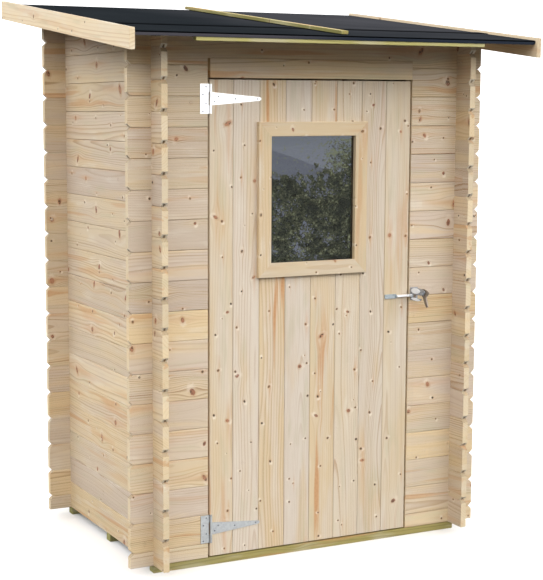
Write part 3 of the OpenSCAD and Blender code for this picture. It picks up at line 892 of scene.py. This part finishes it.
def felt_sheet(name, outline, lip_marks, replaced):
    """A sheet of felt from its section; its free corners are rounded."""
    left, right = deck_low.x + 0.0004, deck_high.x - 0.0004
    steps, corner = 24, 0.010
    ends = [corner * (1 - math.cos(math.pi / 2 * i / 6)) for i in range(7)]
    marks = [left + e for e in ends]
    marks += [left + corner + (right - left - 2 * corner) * i / steps for i in range(1, steps)]
    marks += [right - e for e in ends[::-1]]
    lowest = min(n for _, n in outline)
    bm = bmesh.new()
    rows = []
    for x in marks:
        # The drip edge draws up towards both ends
        inset = min(x - left, right - x, corner)
        lift = corner - math.sqrt(max(corner ** 2 - (corner - inset) ** 2, 0.0))
        points = [roof_point(x, s, n if n > lowest + 0.001 else n + lift) for s, n in outline]
        rows.append([bm.verts.new(point) for point in points])
    skin(bm, rows)
    mesh = solid_mesh(name, bm, felt)
    store(mesh, "lip_marks", [(*w, 0.0) for _ in marks for w in lip_marks])
    mesh.shade_smooth()
    mesh.set_sharp_from_angle(angle=math.radians(50))
    add_piece(name, mesh, "shed", (replaced,))


def fold(s, n_top, sign):
    """The outer face of a fold and its marks: a rounded edge, a crease with a painted shadow, and the drip
    edge with its lighter band.

    Each row is how far it stands out, how far below the top, its share of the lighter lip band and its
    share of the painted shadow in the crease.
    """
    rows = [
        (-0.0020, 0.0, 0, 0), (0.0008, 0.0002, 0, 0), (0.0018, 0.0007, 0, 0), (0.0023, 0.0014, 0, 0.6),
        (0.0021, 0.0020, 0, 1), (0.0010, 0.0025, 0, 1), (0.0010, 0.0050, 0, 1), (0.0022, 0.0055, 0, 1),
        (0.0025, 0.0063, 1, 0), (0.0025, N_FELT, 1, 0),
    ]
    outline = [(s + sign * out, n_top - down) for out, down, _, _ in rows]
    return outline, [(lip_marks, crease_shade) for _, _, lip_marks, crease_shade in rows]


N_UNDER, N_OVER = N_FELT - FELT_T, N_FELT + FELT_T
outline, fold_marks = fold(S_FRONT, N_FELT, -1)
outline += [
    (S_FRONT - LAID, 0.0), (S_FRONT - LAID, N_UNDER),
    (S_UNDER - LAID * 2, N_UNDER), (S_UNDER - LAID * 2, N_FELT),
]
felt_sheet("felt_front", outline, fold_marks + [(0, 0)] * 4, "felt_front_sheet")
outline, fold_marks = fold(S_BACK, N_FELT, 1)
outline += [
    (S_BACK + LAID, 0.0), (S_BACK + LAID, N_UNDER),
    (S_UNDER, N_UNDER), (S_UNDER, N_FELT + LAID), (S_LAP, N_FELT + LAID),
    (S_LAP, N_OVER - 0.0008), (S_LAP + 0.0008, N_OVER), (S_UNDER, N_OVER), (S_UNDER + 0.008, N_FELT),
]
fold_marks += [(0, 0)] * 4 + [(0, 1), (0, 1), (0, 0.6), (0, 0), (0, 0)]
felt_sheet("felt_rear", outline, fold_marks, "felt_rear_sheet")


# ---- Metal and glass ----

def metal(name, dull, bright, rough, metallic=1.0, cells=160.0, glint_from=None):
    """Zinc-coated metal with its faint crystal pattern, painted near white from one place on as a painted
    highlight.
    """
    g = Graph(name)
    where = g.node("ShaderNodeTexCoord").outputs["Object"]
    crystals = g.node("ShaderNodeTexVoronoi")
    g.feed(crystals.inputs["Vector"], where)
    crystals.inputs["Scale"].default_value = cells
    red, _, _ = g.split(crystals.outputs["Color"])
    cloud = g.noise(where, 60.0, 2.0)
    spangle = g.plus(g.times(red, 0.5), g.times(cloud, 0.5))
    tint = g.mix(spangle, rgb(dull), rgb(bright))
    if glint_from is not None:
        x, _, _ = g.split(where)
        tint = g.mix(g.smooth(x, glint_from, glint_from + 0.003), tint, rgb("#f6f8fa"))
    g.give("Base Color", tint)
    g.give("Roughness", g.muladd(spangle, 0.15, rough))
    g.give("Metallic", metallic)
    g.bump(cloud, 0.0001, 0.3)
    return g.material


# Both hinges are the same zinc: the upper one is painted near white as a painted reflection of the light,
# the lower one greyer as painted shade.
zinc_painted_light = metal("zinc_painted_light", "#e6e8ea", "#fbfbfb", 0.4)
zinc_painted_shade = metal("zinc_painted_shade", "#96999b", "#b3b6b8", 0.45)
# The latch plate and its pressed fields are one steel: the plate is painted darker as painted shade, and
# the fields near white as painted highlight.
shaded_latch_steel = metal("latch_steel_painted_shade", "#878b93", "#a5aab2", 0.3, 0.5, cells=60.0)
pressed = metal("latch_steel_painted_highlight", "#e3e9f4", "#fafcff", 0.3, 0.0, cells=60.0)
ROD_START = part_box("latch_striker")[0].x + 0.052
# The rod of the striker is painted near white, a painted highlight.
striker_steel = metal("striker_steel", "#889195", "#a8b0b4", 0.4, 0.4, glint_from=ROD_START)
pawl_steel = metal("pawl_steel", "#75695e", "#8f8376", 0.38, 0.5)
screw_steel = metal("screw_steel", "#55575c", "#7d8086", 0.35, 0.8, cells=900.0)


def repaint(node, material):
    """Gives a solid of the frame its finish."""
    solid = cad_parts[node]
    solid.data.materials.clear()
    solid.data.materials.append(material)


for node, material in (
    ("upper_hinge_plate", zinc_painted_light), ("upper_hinge_strap", zinc_painted_light),
    ("lower_hinge_plate", zinc_painted_shade), ("lower_hinge_strap", zinc_painted_shade),
    ("latch_striker", striker_steel), ("latch_body", shaded_latch_steel), ("latch_pawl", pawl_steel),
):
    repaint(node, material)


def screws(name, body, spots, outward, radius, crossed=True):
    """Domed screw heads, or nail heads, at those spots of a face."""
    rng = random.Random(name)
    outward = Vector(outward)
    side = outward.orthogonal().normalized()
    other = outward.cross(side)
    segments = 24 if crossed else 10
    rings = (0.0, 0.22, 0.45, 0.62, 0.82, 1.0) if crossed else (0.0, 0.6, 1.0)
    bm = bmesh.new()
    for spot in spots:
        start = rng.uniform(0, math.pi)
        rows = []
        for share in rings:
            row = []
            for i in range(segments if share else 1):
                angle = math.tau * i / segments
                x, y = share * math.cos(angle), share * math.sin(angle)
                height = 0.42 * (1 - share ** 2) + 0.06
                if crossed and share < 0.5 and min(abs(x), abs(y)) < 0.13:
                    height -= 0.4
                turned = Matrix.Rotation(start, 2) @ Vector((x, y)) * radius
                flat = Vector(spot) + side * turned.x + other * turned.y
                row.append(bm.verts.new(flat + outward * height * radius))
            rows.append(row)
        foot = [bm.verts.new(v.co - outward * 0.06 * radius) for v in rows[-1]]
        for i in range(segments):
            j = (i + 1) % segments
            bm.faces.new((rows[0][0], rows[1][i], rows[1][j]))
            for low, high in zip(rows[1:], rows[2:] + [foot]):
                bm.faces.new((low[i], high[i], high[j], low[j]))
    add_piece(name, solid_mesh(name, bm, screw_steel), body)


plate_spots, strap_spots = [], []
for which in ("upper", "lower"):
    low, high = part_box(which + "_hinge_plate")
    for across, down in ((0.023, 0.0107), (0.0105, 0.0384), (0.023, 0.0723), (0.0105, 0.0995)):
        plate_spots.append((low.x + across, Y_FRONT - SHEET_T, high.z - down))
    for along, up in ((0.032, 0.0085), (0.017, -0.010), (0.102, 0.0), (0.192, 0.0)):
        strap_spots.append((HINGE_X + along, Y_FRONT - SHEET_T, (low.z + high.z) / 2 + up))
screws("plate_screws", "shed", plate_spots, (0, -1, 0), SCREW_R)
screws("strap_screws", "door", strap_spots, (0, -1, 0), SCREW_R)

plate_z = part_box("latch_body")[0].z
plate_spots = [(LATCH_X + 0.022, Y_FRONT - SHEET_T, plate_z + up) for up in (0.012, 0.036)]
screws("latch_screws", "shed", plate_spots, (0, -1, 0), SCREW_R)


def pressed_field(name, up, wide, high, lean, raised, slope, count=28):
    """An oval field pressed out of the face of the latch plate, so far up from its foot."""
    middle = Vector((Y_FRONT - 0.038, plate_z + up))
    outline = []
    for i in range(count):
        a = math.tau * i / count
        across = wide / 2 * math.cos(a)
        outline.append(middle + Vector((across, high / 2 * math.sin(a) + lean * across)))
    bm = bmesh.new()
    rows = []
    for inwards, out in ((0.0, 0.0), (0.35, 0.3), (0.75, 0.85), (1.0, 1.0), (1.6, 1.0)):
        row = [spot + (middle - spot).normalized() * slope * inwards for spot in outline]
        rows.append([bm.verts.new((LATCH_X - raised * out, *spot)) for spot in row])
    skin(bm, rows)
    # The field's near-white steel is a painted highlight.
    add_piece(name, solid_mesh(name, bm, pressed), "shed")


pressed_field("latch_upper_field", 0.0395, 0.064, 0.0225, -0.03, 0.0012, 0.0022)
pressed_field("latch_lower_field", 0.0062, 0.062, 0.0105, 0.02, 0.001, 0.0016)

ledge_spots = []
for node in LEDGES:
    low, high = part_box(node)
    for number in range(len(DOOR_TONES)):
        x = hinge_low.x + DOOR_BOARD * number + 0.048
        for share, aside in ((0.27, 0.012), (0.73, -0.012)):
            ledge_spots.append((x + aside, high.y, low.z + (high.z - low.z) * share))
screws("ledge_screws", "door", ledge_spots, (0, 1, 0), 0.0036)

nail_spots = []
for node in BEARERS:
    low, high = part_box(node)
    y = max(floor_low.y + 0.02, min(floor_high.y - 0.02, (low.y + high.y) / 2))
    for number in range(FLOOR_BOARDS):
        for share in (0.25, 0.75):
            x = floor_low.x + floor_size.x * (number + share) / FLOOR_BOARDS
            nail_spots.append((x, y, floor_high.z))
screws("floor_nails", "shed", nail_spots, (0, 0, 1), 0.0025, False)


glass = Graph("window_glass")
# The glass is tinted dark, which lays painted shade over the inside seen through it.
glass.give("Base Color", (0.10, 0.11, 0.11, 1.0))
glass.give("Roughness", 0.0)
glass.give("Transmission Weight", 1.0)
glass.give("IOR", 1.75)
ripple = glass.noise(glass.node("ShaderNodeTexCoord").outputs["Object"], 6.0, 1.0)
glass.bump(ripple, 0.002, 0.05)
repaint("window_glass", glass.material)


def sheet(name, x0, y0, x1, y1, material):
    """A flat sheet for the stage."""
    mesh = bpy.data.meshes.new(name)
    mesh.from_pydata([(x0, y0, 0), (x1, y0, 0), (x1, y1, 0), (x0, y1, 0)], [], [(0, 1, 2, 3)])
    mesh.materials.append(material)
    made = bpy.data.objects.new(name, mesh)
    scene.collection.objects.link(made)
    return made


# ---- What stands opposite the window, seen only as a reflection in glass and metal ----

def garden():
    """A roofline and shrubs against the sky, on a card that gives its own light."""
    g = Graph("garden")
    where = g.node("ShaderNodeTexCoord").outputs["Object"]
    u, v, _ = g.split(where)
    sky = g.mix(g.smooth(v, 0.1, 0.6), rgb("#767a85"), rgb("#6b7079"))
    roof = g.smooth(g.minus(g.muladd(u, -0.36, 0.27), v), -0.003, 0.003)
    view = g.mix(roof, sky, rgb("#5e626d"))
    clump = g.noise(where, 5.5, 4.0, 0.6)
    twig = g.noise(where, 21.0, 3.0, 0.65)
    leaf = g.noise(where, 62.0, 2.0, 0.6)
    crown = g.hill(g.muladd(u, 1.0, -0.3), 0.16, 0.0, 1.0)
    edge = g.plus(g.muladd(crown, 0.16, 0.17), g.muladd(clump, 0.7, -0.35))
    edge = g.plus(edge, g.plus(g.muladd(twig, 0.7, -0.35), g.muladd(leaf, 0.3, -0.15)))
    bush = g.smooth(g.minus(edge, v), -0.003, 0.003)
    light = g.plus(g.times(twig, 0.5), g.times(leaf, 0.5))
    green = g.mix(g.smooth(light, 0.44, 0.52), rgb("#11130d"), rgb("#3b3e2e"))
    green = g.mix(g.smooth(light, 0.545, 0.62), green, rgb("#7d8062"))
    green = g.mix(g.smooth(clump, 0.52, 0.66, 0.0, 0.85), green, rgb("#1a1c17"))
    gaps = g.plus(g.times(clump, 0.6), g.times(leaf, 0.4))
    green = g.mix(g.smooth(gaps, 0.43, 0.41), green, rgb("#6a6e7c"))
    reach = g.hill(g.muladd(u, 1.0, -0.26), 0.17, g.muladd(v, 1.0, -0.3), 0.2)
    spray = g.smooth(g.muladd(reach, 0.16, light), 0.59, 0.6)
    view = g.mix(spray, view, g.mix(g.smooth(twig, 0.46, 0.56), rgb("#34392c"), rgb("#6f745f")))
    g.give("Emission Color", g.mix(bush, view, green))
    g.give("Emission Strength", 12.0)
    g.give("Base Color", (0.0, 0.0, 0.0, 1.0))
    return g.material


def mirrored_card():
    """Stands the garden where the camera sees it mirrored in the window."""
    pane_low, pane_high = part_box("window_glass")
    pane = (pane_low + pane_high) / 2
    out = pane - camera.location
    out.y = -out.y
    level = Vector((-out.y, out.x, 0)).normalized()
    upright = level.cross(out).normalized()
    if upright.z < 0:
        upright = -upright
    card = sheet("garden_card", -1.5, -1.2, 1.5, 1.4, garden())
    card.matrix_world = place(pane + out * 1.05, level, upright, level.cross(upright))
    card.visible_camera = card.visible_diffuse = card.visible_shadow = False
    card.visible_transmission = card.visible_volume_scatter = False
    card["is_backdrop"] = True


mirrored_card()


# ---- Floor ----

pale = Graph("pale_floor")
pale.give("Base Color", (0.92, 0.92, 0.92, 1.0))
pale.give("Roughness", 0.9)
ground = sheet("ground", -60, -60, 60, 60, pale.material)
ground.visible_diffuse = False
ground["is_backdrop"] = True

low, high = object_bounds()
